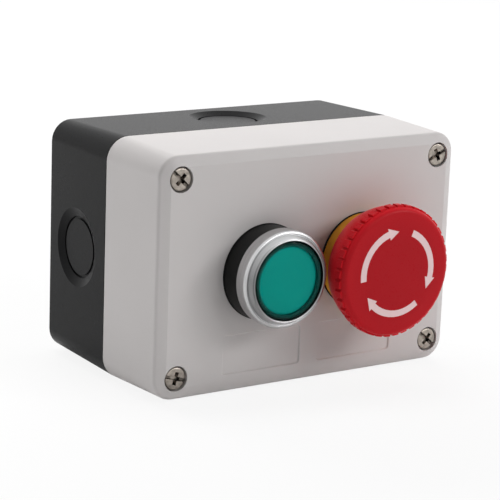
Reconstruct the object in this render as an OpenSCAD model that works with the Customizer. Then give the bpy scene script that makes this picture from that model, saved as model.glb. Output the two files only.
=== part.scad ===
// Two-button control box: a black rear base, a light grey front cover, a flush green start
// button with a metal bezel and a red latching stop button, each with its contact block behind.
// The box stands on its long side. X runs across it, Y points back and Z points up.
// The origin is the middle of the rear mounting plane, and the front faces -Y.

/* [Enclosure] */
// Width of the box across the seam
body_w = 106; // [100:0.5:140]
// Height of the box across the seam
body_h = 72.8; // [70:0.2:100]
// Depth of the rear base from the mounting plane to the seam
base_d = 35.5; // [29:0.1:50]
// Depth of the front cover from the seam to its face
cover_d = 29.2; // [24:0.1:36]
// Radius of the four upright corners at the seam
corner_r = 7.1; // [5.5:0.1:9]
// How much each side leans in from the seam to the face and to the back
draft = 0.8; // [0.2:0.1:1.2]
// Wall thickness of the base and the cover
wall = 2.5; // [2:0.1:3]
// Width of the sloped border round the front face
bevel_w = 3.1; // [1.5:0.1:4]
// Depth of the sloped border round the front face
bevel_d = 1.45; // [0.8:0.05:2]
// Height of the four pads on the back
pad_h = 0.4; // [0.2:0.1:0.8]

/* [Cover screws] */
// Distance of a cover screw's middle from the two sides of its corner
screw_inset = 7.4; // [7.2:0.1:7.8]
// Diameter of a screw head
screw_head_d = 6.7; // [5.5:0.1:8.1]
// Gap between a screw head and the round recess that holds it
recess_gap = 0.45; // [0.3:0.05:0.6]
// Height of a screw head
screw_head_h = 2.4; // [2:0.1:2.9]
// Diameter of a screw's shank
screw_d = 4; // [3.3:0.1:4.8]
// Wall of the round posts, outside the recesses of the screw heads
post_wall = 1.4; // [1.2:0.1:1.8]

/* [Wall mounting] */
// Distance between the wall screw holes across the box
mount_dx = 76; // [70:0.5:80]
// Distance between the wall screw holes up the box
mount_dz = 44; // [40:0.5:48]
// Diameter of a wall screw hole
mount_d = 4.5; // [4:0.1:5.5]

/* [Conduit entries] */
// Diameter of the conduit opening that a knock-out disc closes
knock_d = 18.6; // [15.5:0.1:22]
// Width of the sloped ring round the opening
knock_slope = 2.7; // [2.2:0.1:3.2]
// How deep the disc lies below the wall's outer face
knock_sink = 1.15; // [0.9:0.05:1.4]
// Width of the thin groove along which the disc breaks out
knock_groove = 0.8; // [0.6:0.1:1]

/* [Labels] */
// Width of a label recess
label_w = 27.3; // [20:0.1:30]
// Height of a label recess
label_h = 12; // [8:0.1:14]
// Depth of a label recess
label_sink = 0.45; // [0.2:0.05:0.8]
// Width of the sloped edge round a label recess
label_edge = 0.35; // [0.2:0.05:0.6]
// Distance between the middles of the two label recesses
label_spacing = 33.3; // [32:0.1:40]
// Height of the label recesses' middle above the box's underside
label_rise = 12.2; // [11.4:0.1:14.4]
// Sideways place of the point halfway between the label recesses
label_mid_x = 0.3; // [-1:0.1:1]

/* [Layout] */
// Least gap between the bezel and the red head
button_gap = 0.3; // [0.3:0.1:8]
// Sideways place of the point halfway between the buttons
button_mid_x = 0.75; // [-2:0.05:2]
// Height of the buttons' middle, from the middle of the box
button_z = -0.5; // [-2:0.1:3]
// Diameter of the panel holes
panel_hole_d = 22.3; // [20:0.1:26.8]

/* [Start button] */
// Diameter of the green lens
lens_d = 22.9; // [19:0.1:27.5]
// How deep the lens lies below the bezel's lip
lens_sink = 0.4; // [0:0.05:0.8]
// Width of the metal bezel, from its opening to its outer edge
bezel_w = 2.65; // [2.2:0.05:3.2]
// Height of the bezel's outer edge above the cover
bezel_edge_h = 11.3; // [10.4:0.1:13.6]
// How far the bezel's lip stands above its outer edge
bezel_lip = 1.7; // [1.4:0.1:2.1]
// Height of the black collar's front end above the cover
collar_h = 7.1; // [5.9:0.1:8.5]
// How far the button travels when it is pressed
start_travel = 3.5; // [2:0.1:4.2]

/* [Stop button] */
// Largest diameter of the red head, over its grip teeth
head_d = 39.6; // [33:0.1:47.6]
// Width of the head's rear edge
head_rim = 2.1; // [1.7:0.1:2.6]
// Height of the head's rear edge above the cover
head_rear_h = 6.9; // [6.5:0.1:8.3]
// Height of the head's face above the cover, at its edge
head_face_h = 18.2; // [17:0.1:21.8]
// How far the middle of the head's face stands out
face_dome = 0.35; // [0.1:0.05:0.8]
// Radius of the rounding at the head's front edge
head_round = 1.6; // [1.3:0.1:2]
// Height of the grip teeth
grip_h = 2.4; // [1.6:0.1:3]
// Number of grip teeth round the head
grip_count = 40; // [32:1:48]
// Depth of a grip tooth
grip_depth = 0.6; // [0.4:0.05:0.75]
// How far the yellow collar reaches past the panel hole
yellow_rim = 3.15; // [2.8:0.05:3.8]
// Height of the yellow collar above the cover
yellow_h = 6.3; // [5.2:0.1:7.5]
// How far the head travels when it is pressed
stop_travel = 4.5; // [3:0.1:5.4]
// Distance of the arrows' middle line from the head's largest diameter
arrow_inset = 7.45; // [6.2:0.05:8.9]
// Width of an arrow's band
arrow_w = 2; // [1.4:0.1:2.4]
// Angle of the first arrow's tail, clockwise from the top of the head
arrow_start = 23; // [0:1:60]
// Angle that each arrow covers
arrow_sweep = 96; // [60:1:110]

/* [Contact blocks] */
// Width of a contact block
block_w = 9.8; // [8.2:0.1:11.7]
// Height of a contact block from end to end
block_h = 32; // [28:0.1:38]
// Depth of a contact block from front to back
block_d = 22; // [20:0.1:26]
// Gap between neighbouring blocks
block_gap = 0.2; // [0.1:0.1:1]

/* [Hidden] */
$fn = 64;

// Colours
black_plastic = "#2e2e2e";
grey_plastic = "#d8d6d2";
rubber = "#151515";
nickel = "#b9b3ab";
brass = "#b08a44";
satin_metal = "#bfc0c2";
green_lens_colour = "#0a8a7a";
red_plastic = "#a81c24";
white_plastic = "#ece4e4";
yellow_plastic = "#e0a020";
steel = "#8d9094";
ivory_plastic = "#cfcabc";
clear_plastic = "#c8ccd0";

// Clearances and small shared sizes
eps = 0.01;
run_fit = 0.05;
slip_fit = 0.1;
touch_gap = 0.05;
seam_gap = 0.3;
corner_steps = 8;
gasket_t = 0.6;
gasket_edge = 0.2;
nut_t = 5;
clip_room = 1.5;
carrier_t = 5;
key_w = 3;

total_d = base_d + cover_d;
screw_dx = body_w - 2 * screw_inset;
screw_dz = body_h - 2 * screw_inset;
recess_r = screw_head_d / 2 + recess_gap;
post_r = recess_r + post_wall;

// What the panel hole decides: the barrel, its key, the nut and the collars
panel_hole_r = panel_hole_d / 2;
barrel_r = panel_hole_r - 0.25;
key_out = barrel_r + 1.1;
nut_r = barrel_r + 2.5;
yellow_r = panel_hole_r + yellow_rim;

// What the lens decides: the bezel and the collar behind it
bezel_bore_r = lens_d / 2 + 0.3;
bezel_r = max(bezel_bore_r + bezel_w, key_out + 0.5);
collar_r = bezel_r - 0.3;

// Depths behind the panel, from the nut back to the blocks
carrier_front = -wall - nut_t - clip_room;
barrel_end = carrier_front - carrier_t - 1;
push_face = barrel_end - 3.2;
blocks_front = push_face - max(start_travel, stop_travel) - 0.3;

// Places of the two buttons, whose bezel, head and carriers keep clear of each other
block_pitch = block_w + block_gap;
carrier_w = 3 * block_pitch + 0.4;
button_spacing = max(bezel_r + head_d / 2 + button_gap, carrier_w + 1);
start_x = button_mid_x - button_spacing / 2;
stop_x = button_mid_x + button_spacing / 2;
label_z = label_rise - body_h / 2;
cavity_w = body_w - 2 * draft - 2 * wall;
cavity_h = body_h - 2 * draft - 2 * wall;

// Points of an arc about a centre, from one angle to another
function arc(cx, cy, r, a0, a1, n) =
  [for (i = [0:n]) [cx + r * cos(a0 + (a1 - a0) * i / n), cy + r * sin(a0 + (a1 - a0) * i / n)]];

// Outline of a rounded rectangle
function rounded(w, h, r) = concat(
  arc(w / 2 - r, h / 2 - r, r, 0, 90, corner_steps),
  arc(-w / 2 + r, h / 2 - r, r, 90, 180, corner_steps),
  arc(-w / 2 + r, -h / 2 + r, r, 180, 270, corner_steps),
  arc(w / 2 - r, -h / 2 + r, r, 270, 360, corner_steps)
);

// Outline of the box inset by a distance, with its corners kept concentric
function box_outline(inset) =
  rounded(body_w - 2 * inset, body_h - 2 * inset, max(corner_r - inset, 0.6));

// Outline of the hollow, which runs round the four screw posts
function post_corner(sx, sz) =
  let (
    rise = cavity_h / 2 - screw_dz / 2,
    run = cavity_w / 2 - screw_dx / 2,
    a_top = 180 - asin(min(rise / post_r, 0.98)),
    a_side = 360 - acos(min(run / post_r, 0.98)),
    points = arc(screw_dx / 2, screw_dz / 2, post_r, a_top, a_side, 12),
    cut = concat(
      [[points[0][0], cavity_h / 2]], points, [[cavity_w / 2, points[12][1]]]
    ),
    placed = [for (p = cut) [sx * p[0], sz * p[1]]]
  )
  sx * sz > 0 ? [for (i = [len(placed) - 1:-1:0]) placed[i]] : placed;

function cavity_outline() = concat(
  post_corner(1, 1), post_corner(-1, 1), post_corner(-1, -1), post_corner(1, -1)
);

// Turns a part built with +Z towards the user so that its front faces -Y
module stand() {
  rotate([90, 0, 0]) children();
}

// Places a part with its zero height on the cover's face
module on_face(x, z) {
  stand() translate([x, z, total_d]) children();
}

module at_start() {
  on_face(start_x, button_z) children();
}

module at_stop() {
  on_face(stop_x, button_z) children();
}

// Repeats a part at the four cover screws
module at_cover_screws() {
  for (sx = [-1, 1], sz = [-1, 1]) {
    translate([sx * screw_dx / 2, sz * screw_dz / 2, 0]) children();
  }
}

// Cylinder between two heights
module rod(r, z0, z1) {
  translate([0, 0, min(z0, z1)]) cylinder(r = r, h = abs(z1 - z0));
}

// Block centred in X and Y between two heights
module bar(w, h, z0, z1) {
  translate([-w / 2, -h / 2, min(z0, z1)]) cube([w, h, abs(z1 - z0)]);
}

// Smooth convex shell through a list of [height, inset] levels of the box's outline
module shell(levels) {
  hull() {
    for (level = levels) {
      translate([0, 0, level[0]]) linear_extrude(eps) polygon(box_outline(level[1]));
    }
  }
}

// Helical spring of round wire, with its ends drawn flat
function spring_ring(r, wire, turns, z0, z1, t) =
  let (
    angle = 360 * turns * t,
    flat = 0.12,
    rise = t < flat ? 0 : t > 1 - flat ? 1 : (t - flat) / (1 - 2 * flat),
    z = z0 + wire / 2 + (z1 - z0 - wire) * rise
  )
  [for (k = [0:5])
    let (a = 60 * k, q = r + wire / 2 * cos(a))
    [q * cos(angle), q * sin(angle), z + wire / 2 * sin(a)]];

module helix(r, wire, turns, z0, z1, steps) {
  rings = round(turns * steps);
  points = [for (i = [0:rings]) each spring_ring(r, wire, turns, z0, z1, i / rings)];
  sides = [for (i = [0:rings - 1], k = [0:5])
    [6 * i + k, 6 * i + (k + 1) % 6, 6 * (i + 1) + (k + 1) % 6, 6 * (i + 1) + k]];
  caps = [[5, 4, 3, 2, 1, 0], [for (k = [0:5]) 6 * rings + k]];
  polyhedron(points, concat(sides, caps), convexity = 10);
}

// Rear base
base_rim = base_d - seam_gap / 2;
groove_inset = 0.75;
groove_w = 1.1;
groove_d = 1.4;
insert_r = screw_d / 2 + 0.9;
insert_h = 8;
foot_round = 0.6;
pad_rim = 5;
tip_room = 6;

module knock_out_cut() {
  hole_r = knock_d / 2;
  rim_r = hole_r + knock_slope;
  disc_r = hole_r - knock_groove;
  groove_z = -knock_sink - 0.5;
  rotate_extrude() polygon([
    [0, 1], [rim_r, 1], [rim_r, 0], [hole_r, -knock_sink], [hole_r, groove_z],
    [disc_r, groove_z], [disc_r, -knock_sink], [0, -knock_sink]
  ]);
}

// Repeats a part on the middle of the base's four sides, with +Z pointing out of the wall
module at_entries() {
  mid = base_d / 2;
  lean = atan(draft / base_d);
  for (side = [0:3]) {
    out = side % 2 == 0 ? body_w / 2 : body_h / 2;
    rotate([0, 0, 90 * side]) translate([out - draft / 2, 0, mid]) rotate([0, 90 + lean, 0])
      children();
  }
}

// Pads behind the four wall screw holes, which reach the box's corners
module base_pads() {
  pad_x = (body_w - mount_dx) / 2 + pad_rim;
  pad_z = (body_h - mount_dz) / 2 + pad_rim;
  for (sx = [-1, 1], sz = [-1, 1]) {
    intersection() {
      translate([sx * (body_w - pad_x) / 2, sz * (body_h - pad_z) / 2, 0])
        bar(pad_x, pad_z, 0, pad_h + eps);
      linear_extrude(2 * pad_h) polygon(box_outline(draft + foot_round));
    }
  }
}

module rear_base() {
  color(black_plastic) stand() difference() {
    union() {
      shell([[pad_h, draft + foot_round], [pad_h + foot_round, draft], [base_rim - eps, 0]]);
      base_pads();
    }
    translate([0, 0, pad_h + wall]) linear_extrude(base_d) polygon(cavity_outline());
    seal_groove();
    at_cover_screws() rod(insert_r + touch_gap, base_rim - insert_h, base_rim + 1);
    at_cover_screws() rod(screw_d / 2 + screw_gap, base_rim - insert_h - tip_room, base_rim);
    for (sx = [-1, 1], sz = [-1, 1]) {
      translate([sx * mount_dx / 2, sz * mount_dz / 2, -1]) cylinder(d = mount_d, h = wall + 3);
    }
    at_entries() knock_out_cut();
  }
}

module seal_groove() {
  translate([0, 0, base_rim - groove_d]) linear_extrude(groove_d + 1) difference() {
    polygon(box_outline(groove_inset));
    polygon(box_outline(groove_inset + groove_w));
  }
}

module base_inserts() {
  color(brass) stand() at_cover_screws() difference() {
    rod(insert_r, base_rim - insert_h, base_rim);
    rod(screw_d / 2, base_rim - insert_h - 1, base_rim + 1);
  }
}

module cover_seal() {
  bead = groove_w - 2 * slip_fit;
  flat_in = 0.3;
  flat_w = 2;
  color(rubber) stand() union() {
    translate([0, 0, base_rim]) linear_extrude(seam_gap) difference() {
      polygon(box_outline(flat_in));
      polygon(box_outline(flat_in + flat_w));
    }
    translate([0, 0, base_rim - groove_d + slip_fit]) linear_extrude(groove_d) difference() {
      polygon(box_outline(groove_inset + slip_fit));
      polygon(box_outline(groove_inset + slip_fit + bead));
    }
  }
}

// Front cover
cover_rim = base_d + seam_gap / 2;
face_inset = draft + bevel_w;
edge_soft = 0.9;
screw_gap = 0.25;
seat_gap = 0.3;
screw_seat = total_d - screw_head_h - seat_gap;
label_round = 1.2;

// Side, rounded shoulder and bevel of the cover as [height, inset] levels
function cover_levels() =
  let (
    knee = [total_d - bevel_d, draft],
    slope = sqrt(bevel_w * bevel_w + bevel_d * bevel_d),
    low = [knee[0] - edge_soft, draft - draft * edge_soft / cover_d],
    high = [knee[0] + edge_soft * bevel_d / slope, knee[1] + edge_soft * bevel_w / slope],
    bend = [for (i = [0:4])
      let (t = i / 4) (1 - t) * (1 - t) * low + 2 * t * (1 - t) * knee + t * t * high]
  )
  concat([[cover_rim, 0]], bend, [[total_d - eps, face_inset]]);

// Shallow recess with sloping edges
module label_cut() {
  low = 2 * label_edge;
  hull() {
    translate([0, 0, -label_sink]) linear_extrude(eps)
      polygon(rounded(label_w - low, label_h - low, label_round - label_edge));
    linear_extrude(eps) polygon(rounded(label_w, label_h, label_round));
  }
}

module panel_hole_cut() {
  slot_w = key_w + 2 * slip_fit;
  rod(panel_hole_r, -wall - 1, 1);
  translate([-slot_w / 2, 0, -wall - 1]) cube([slot_w, key_out + slip_fit, wall + 2]);
}

module front_cover() {
  color(grey_plastic) stand() difference() {
    shell(cover_levels());
    translate([0, 0, cover_rim - 1]) linear_extrude(cover_d - wall + 1 - seam_gap / 2)
      polygon(cavity_outline());
    at_cover_screws() rod(recess_r, screw_seat, total_d + 1);
    at_cover_screws() rod(screw_d / 2 + screw_gap, 0, total_d);
    for (x = [start_x, stop_x]) {
      translate([x, button_z, total_d]) panel_hole_cut();
    }
    for (side = [-1, 1]) {
      translate([label_mid_x + side * label_spacing / 2, label_z, total_d]) label_cut();
    }
  }
}

// Cover screws, each with a cross recess and one through slot
screw_turns = [[-1, 1, 136], [-1, -1, 164], [1, 1, 24], [1, -1, 140]];

module cover_screw(turn) {
  tip = base_rim - insert_h + 0.8;
  top = screw_seat + screw_head_h;
  crown = 0.45;
  slot_w = 1.1;
  slot_d = 0.9;
  cross_w = 1.2;
  cross_l = 3.9;
  cross_d = 1.7;
  difference() {
    union() {
      rod(screw_d / 2 - touch_gap, tip, screw_seat + eps);
      translate([0, 0, screw_seat]) rotate_extrude() polygon(concat(
        [[0, 0], [screw_head_d / 2, 0]],
        arc(screw_head_d / 2 - crown, screw_head_h - crown, crown, 0, 90, 4),
        [[0, screw_head_h]]
      ));
    }
    rotate([0, 0, turn]) {
      bar(screw_head_d + 1, slot_w, top - slot_d, top + 1);
      bar(cross_l, cross_w, top - cross_d, top + 1);
      bar(cross_w, cross_l, top - cross_d, top + 1);
    }
  }
}

module cover_screws() {
  color(nickel) stand() for (s = screw_turns) {
    translate([s[0] * screw_dx / 2, s[1] * screw_dz / 2, 0]) cover_screw(s[2]);
  }
}

// Shared pieces of the two operators
module gasket(outer_r) {
  notch_w = key_w + 2 * slip_fit;
  difference() {
    rod(outer_r, 0, gasket_t);
    rod(barrel_r + slip_fit, -1, gasket_t + 1);
    translate([0, key_out / 2 + slip_fit, 0]) bar(notch_w, key_out, -1, gasket_t + 1);
  }
}

module barrel_key() {
  translate([-key_w / 2, 0, -wall]) cube([key_w, key_out, wall + gasket_t + 1]);
}

// Ring nut behind the panel, with six notches for a spanner
module lock_nut() {
  notch_w = 3;
  notch_d = 1.2;
  notches = 6;
  difference() {
    rod(nut_r, -wall, -wall - nut_t);
    rod(barrel_r + run_fit, 0, -wall - nut_t - 1);
    for (i = [0:notches - 1]) {
      rotate([0, 0, 360 / notches * i]) translate([nut_r, 0, 0])
        bar(2 * notch_d, notch_w, -wall - notch_d, -wall - nut_t - 1);
    }
  }
}

// Carrier that grips the barrel and hooks the blocks' two ends
hook_z = blocks_front - 2.6;
hook_t = 1.4;
leg_in = block_h / 2 + touch_gap;

module carrier() {
  leg_t = 1.4;
  hook = 0.9;
  notch_w = 1.5;
  notch_h = 12;
  back = carrier_front - carrier_t;
  difference() {
    union() {
      bar(carrier_w, 2 * (leg_in + leg_t), carrier_front, back);
      for (side = [-1, 1]) {
        translate([0, side * (leg_in + leg_t / 2), 0]) bar(carrier_w, leg_t, back + eps, hook_z - hook_t);
        translate([0, side * (leg_in - hook / 2 + eps), 0])
          bar(carrier_w, hook + 2 * eps, hook_z, hook_z - hook_t);
      }
    }
    rod(barrel_r + run_fit, carrier_front + 1, back - 1);
    for (side = [-1, 1]) {
      translate([side * carrier_w / 2, 0, 0])
        bar(2 * notch_w, notch_h, carrier_front + 1, back - 1);
    }
  }
}

// Start button
plunger_r = min(barrel_r - 2.5, lens_d / 2 - 3.05);
plunger_bore = plunger_r - 3.8;
plunger_end = barrel_end - 0.2;
plate_arm = 7;
plate_spigot_r = plunger_r - 2.8;
plate_spigot_h = 3;
pocket_floor = gasket_t + 1;
flange_t = 1.6;
lens_t = 4;
lens_face_t = 0.75;
lens_wall = 1;
lens_h = bezel_edge_h + bezel_lip - lens_sink;
lens_back = lens_h - lens_t;
lens_room_r = lens_d / 2 - lens_wall;
plunger_spigot_h = 1.4;

// Metal ring: rounded outer edge, shallow valley, steep inner cone and a thin rounded lip
module start_bezel() {
  round = 0.85;
  valley = bezel_edge_h - 0.2;
  lip_h = bezel_edge_h + bezel_lip;
  lip_w = 0.45;
  cone_top = lip_h - 0.5;
  color(satin_metal) at_start() rotate_extrude() polygon(concat(
    [[bezel_bore_r, collar_h], [bezel_r, collar_h]],
    arc(bezel_r - round, bezel_edge_h - round, round, 0, 90, 7),
    [[bezel_r - round - 0.15, valley], [bezel_r - round - 0.35, valley]],
    [[bezel_bore_r + lip_w + 0.15, cone_top], [bezel_bore_r + lip_w, cone_top]],
    arc(bezel_bore_r + lip_w / 2, lip_h - lip_w / 2, lip_w / 2, 0, 180, 6)
  ));
}

module start_body() {
  color(black_plastic) at_start() difference() {
    union() {
      rod(collar_r, gasket_t, collar_h);
      rod(barrel_r, barrel_end, gasket_t + eps);
      barrel_key();
    }
    rod(bezel_bore_r, pocket_floor, collar_h + 1);
    rod(plunger_r + run_fit, barrel_end - 1, pocket_floor + 1);
  }
}

module start_gasket() {
  color(rubber) at_start() gasket(collar_r + gasket_edge);
}

// Clear cap with a thin face and a wall that stands on the plunger's flange
module start_lens() {
  r = lens_d / 2;
  soft = 0.4;
  color(green_lens_colour) at_start() rotate_extrude() polygon(concat(
    [[0, lens_h - lens_face_t], [lens_room_r, lens_h - lens_face_t]],
    [[lens_room_r, lens_back], [r, lens_back]],
    arc(r - soft, lens_h - soft, soft, 0, 90, 5),
    [[0, lens_h]]
  ));
}

// Disc under the cap's face that spreads the lamp's light
module start_diffuser() {
  r = lens_room_r - slip_fit;
  top = lens_h - lens_face_t - touch_gap;
  soft = 0.8;
  color(green_lens_colour) at_start() rotate_extrude() polygon(concat(
    [[0, lens_back + plunger_spigot_h], [r, lens_back + plunger_spigot_h]],
    arc(r - soft, top - soft, soft, 0, 90, 6),
    [[0, top]]
  ));
}

module start_plunger() {
  color(black_plastic) at_start() difference() {
    union() {
      rod(plunger_r, plunger_end, lens_back - flange_t);
      rod(lens_d / 2 - slip_fit, lens_back - flange_t - eps, lens_back);
      rod(lens_room_r - slip_fit, lens_back - eps, lens_back + plunger_spigot_h);
    }
    rod(plunger_bore, plunger_end - 1, lens_back + plunger_spigot_h + 1);
    rod(plate_spigot_r + touch_gap, plunger_end - 1, plunger_end + plate_spigot_h + touch_gap);
  }
}

// Cross plate on the plunger's end, which reaches over all three block positions
module start_pusher_plate() {
  color(ivory_plastic) at_start() difference() {
    union() {
      bar(2 * block_pitch + plate_arm, plate_arm, push_face, plunger_end);
      rod(max(plate_arm, plate_spigot_r + 1), push_face, plunger_end);
      rod(plate_spigot_r, push_face, plunger_end + plate_spigot_h);
    }
    rod(plunger_bore, push_face - 1, plunger_end + plate_spigot_h + 1);
  }
}

module start_return_spring() {
  r = (plunger_r + lens_d / 2) / 2 - 0.05;
  color(steel) at_start() helix(r, 0.6, 3, pocket_floor, lens_back - flange_t, 20);
}

module start_lock_nut() {
  color(black_plastic) at_start() lock_nut();
}

module start_carrier() {
  color(black_plastic) at_start() carrier();
}

// Lamp block in the middle position
lamp_neck_r = plunger_bore - 1;
lamp_top = carrier_front;
lamp_r = lamp_neck_r - 1.1;
lamp_base = blocks_front - 8;

module start_lamp_case() {
  color(black_plastic) at_start() difference() {
    union() {
      bar(block_w, block_h, blocks_front, blocks_front - block_d);
      rod(lamp_neck_r, blocks_front - eps, lamp_top - 2 * lamp_r);
    }
    hook_notches();
    rod(lamp_r + touch_gap, lamp_top, lamp_base);
    for (side = [-1, 1]) {
      translate([0, side * terminal_y, 0]) {
        rod(terminal_head_r + slip_fit, lamp_screw_seat, blocks_front - block_d - 1);
        rod(terminal_r + touch_gap, lamp_screw_seat - 1, lamp_screw_seat + terminal_l + slip_fit);
      }
    }
  }
}

module start_lamp() {
  color(clear_plastic) at_start() rotate_extrude() polygon(concat(
    [[0, lamp_base], [lamp_r, lamp_base]],
    arc(0, lamp_top - lamp_r, lamp_r, 0, 90, 8)
  ));
}

module start_lamp_screws() {
  color(nickel) at_start() for (side = [-1, 1]) {
    translate([0, side * terminal_y, 0]) terminal_screw(lamp_screw_seat);
  }
}

// Stop button
stem_r = 6;
spring_room_r = barrel_r - 1.7;
collar_seat_r = barrel_r + 1.1;
collar_lip_t = 0.9;
head_hollow_r = yellow_r + 0.7;
boss_r = stem_r + 2.6;
boss_back = yellow_h + stop_travel + 0.7;
face_t = 2.4;
head_skirt_r = head_d / 2 - grip_depth;
face_edge_r = head_skirt_r - head_round;
grip_top = head_face_h - head_round;
grip_low = grip_top - grip_h;
clip_z = (-wall - nut_t + carrier_front) / 2;
clip_wire = 1;
clip_x = stem_r - 0.8;
spring_floor = -4.5;
spigot_r = 3;
guide_w = 3;
guide_in = stem_r + 1.2;
guide_out = barrel_r - 1.5;
guide_l = 6.3;
arrow_r = head_d / 2 - arrow_inset;
arrow_sink = 0.7;

// Points of the domed face from its edge to its middle, lifted by a distance
function dome(lift) =
  [for (i = [0:6])
    let (t = 1 - i / 6) [face_edge_r * t, head_face_h + face_dome * (1 - t * t) + lift]];

// Half-section of the head without its teeth, from its rear edge round the skirt to the face
function head_profile() =
  let (
    rear = head_hollow_r + head_rim,
    low = head_rear_h + 0.4,
    flare = [for (i = [0:5])
      let (t = i / 5) [rear + (head_skirt_r - rear) * sin(90 * t), low + (grip_low - low) * t]]
  )
  concat(
    [[head_hollow_r, head_rear_h], [rear - 0.4, head_rear_h]],
    flare,
    arc(face_edge_r, grip_top, head_round, 0, 80, 6),
    dome(0),
    [[0, head_face_h - face_t], [head_hollow_r - 1, head_face_h - face_t]],
    [[head_hollow_r, head_face_h - face_t - 1]]
  );

// Saw-tooth outline of the grip band: a long face on each tooth and a short gap beside it
function grip_outline() =
  let (step = 360 / grip_count, foot = head_skirt_r - 0.1)
  [for (i = [0:grip_count - 1], j = [0:3])
    let (a = step * (i + [0, 0.14, 0.34, 0.97][j]), q = j < 2 ? foot : head_d / 2)
    [q * cos(a), q * sin(a)]];

// The three arrows as upright prisms, pointing clockwise as the user sees them
module arrow_prisms(from_z, to_z) {
  tip_l = 3.6;
  tip_w = 3.7;
  neck = arrow_sweep - tip_l / arrow_r * 180 / PI;
  half = arrow_w / 2;
  translate([0, 0, from_z]) linear_extrude(to_z - from_z) for (i = [0:2]) {
    rotate([0, 0, 90 - arrow_start - 120 * i]) polygon(concat(
      arc(0, 0, arrow_r + half, 0, -neck, 10),
      [for (q = [arrow_r + tip_w / 2]) [q * cos(neck), -q * sin(neck)]],
      [[arrow_r * cos(arrow_sweep), -arrow_r * sin(arrow_sweep)]],
      [for (q = [arrow_r - tip_w / 2]) [q * cos(neck), -q * sin(neck)]],
      arc(0, 0, arrow_r - half, -neck, 0, 10)
    ));
  }
}

module stop_head() {
  color(red_plastic) at_stop() difference() {
    union() {
      rotate_extrude() polygon(head_profile());
      translate([0, 0, grip_low]) linear_extrude(grip_h) difference() {
        polygon(grip_outline());
        circle(head_hollow_r + 1);
      }
      difference() {
        rod(boss_r, boss_back, head_face_h - face_t + eps);
        rod(stem_r + touch_gap, boss_back - 1, head_face_h - face_t);
      }
    }
    arrow_prisms(head_face_h - arrow_sink, head_face_h + 2);
  }
}

module stop_arrows() {
  color(white_plastic) at_stop() intersection() {
    arrow_prisms(head_face_h - arrow_sink, head_face_h + 2);
    rotate_extrude() polygon(concat(
      [[0, head_face_h - 1], [face_edge_r, head_face_h - 1]], dome(0.02)
    ));
  }
}

module stop_collar() {
  lip_r = spring_room_r + 0.4;
  bore_r = collar_seat_r + slip_fit;
  low = yellow_h - collar_lip_t;
  r = yellow_r;
  color(yellow_plastic) at_stop() rotate_extrude() polygon([
    [bore_r, gasket_t], [r, gasket_t], [r, 2.6], [r - 0.5, yellow_h - 0.5],
    [r - 1, yellow_h], [lip_r, yellow_h], [lip_r, low], [bore_r, low]
  ]);
}

module stop_gasket() {
  color(rubber) at_stop() gasket(yellow_r + gasket_edge);
}

module stop_body() {
  slot_w = clip_wire + 2 * slip_fit;
  color(black_plastic) at_stop() difference() {
    union() {
      rod(collar_seat_r, gasket_t, yellow_h - collar_lip_t);
      rod(barrel_r, barrel_end, gasket_t + eps);
      barrel_key();
    }
    rod(spring_room_r, spring_floor, yellow_h);
    rod(stem_r + run_fit, barrel_end - 1, spring_floor + 1);
    for (side = [-1, 1]) {
      translate([side * clip_x, 0, 0]) bar(slot_w, 30, clip_z - slot_w / 2, clip_z + slot_w / 2);
      translate([0, side * (guide_in + guide_out) / 2, 0]) bar(
        guide_w + 2 * slip_fit, guide_out - guide_in + 2 * slip_fit, barrel_end - 1, barrel_end + guide_l
      );
    }
  }
}

// Shaft under the head: a ring groove holds it released and two flat notches hold it pressed
module stop_stem() {
  spigot_l = 2.4;
  shoulder = barrel_end - 0.2;
  groove_r = clip_x - clip_wire / 2 - touch_gap;
  half = clip_wire / 2 + 0.15;
  color(steel) at_stop() difference() {
    rotate_extrude() polygon([
      [0, head_face_h - face_t], [stem_r, head_face_h - face_t], [stem_r, clip_z + half + 1],
      [groove_r, clip_z + half], [groove_r, clip_z - half], [stem_r, clip_z - half - 1],
      [stem_r, shoulder], [spigot_r, shoulder], [spigot_r, shoulder - spigot_l],
      [0, shoulder - spigot_l]
    ]);
    for (side = [-1, 1]) {
      translate([side * (groove_r + 2), 0, 0])
        bar(4, 20, clip_z + stop_travel - half, clip_z + stop_travel + half);
    }
  }
}

// Disc that the stem turns in, kept from turning by two tabs that run in slots of the body
module stop_pusher() {
  top = barrel_end - 0.2 - touch_gap;
  color(ivory_plastic) at_stop() difference() {
    union() {
      rod(guide_out, top, push_face);
      for (side = [-1, 1]) {
        translate([0, side * (guide_in + guide_out) / 2, 0])
          bar(guide_w, guide_out - guide_in, push_face + 1, barrel_end + guide_l - 0.3);
      }
    }
    rod(spigot_r + run_fit, top + 1, push_face + 0.4);
  }
}

module stop_return_spring() {
  r = (spring_room_r + stem_r) / 2;
  color(steel) at_stop() helix(r, 1, 5, spring_floor, boss_back, 16);
}

// U-shaped wire whose two arms spring into the stem's grooves
module stop_latch_clip() {
  arm = barrel_r - 1.4;
  color(steel) at_stop() translate([0, 0, clip_z]) union() {
    for (side = [-1, 1]) {
      translate([side * clip_x, arm, 0]) rotate([90, 0, 0]) cylinder(d = clip_wire, h = 2 * arm + 1.5);
    }
    translate([0, arm, 0]) rotate_extrude(angle = 180) translate([clip_x, 0]) circle(d = clip_wire);
  }
}

module stop_lock_nut() {
  color(black_plastic) at_stop() lock_nut();
}

module stop_carrier() {
  color(black_plastic) at_stop() carrier();
}

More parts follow.
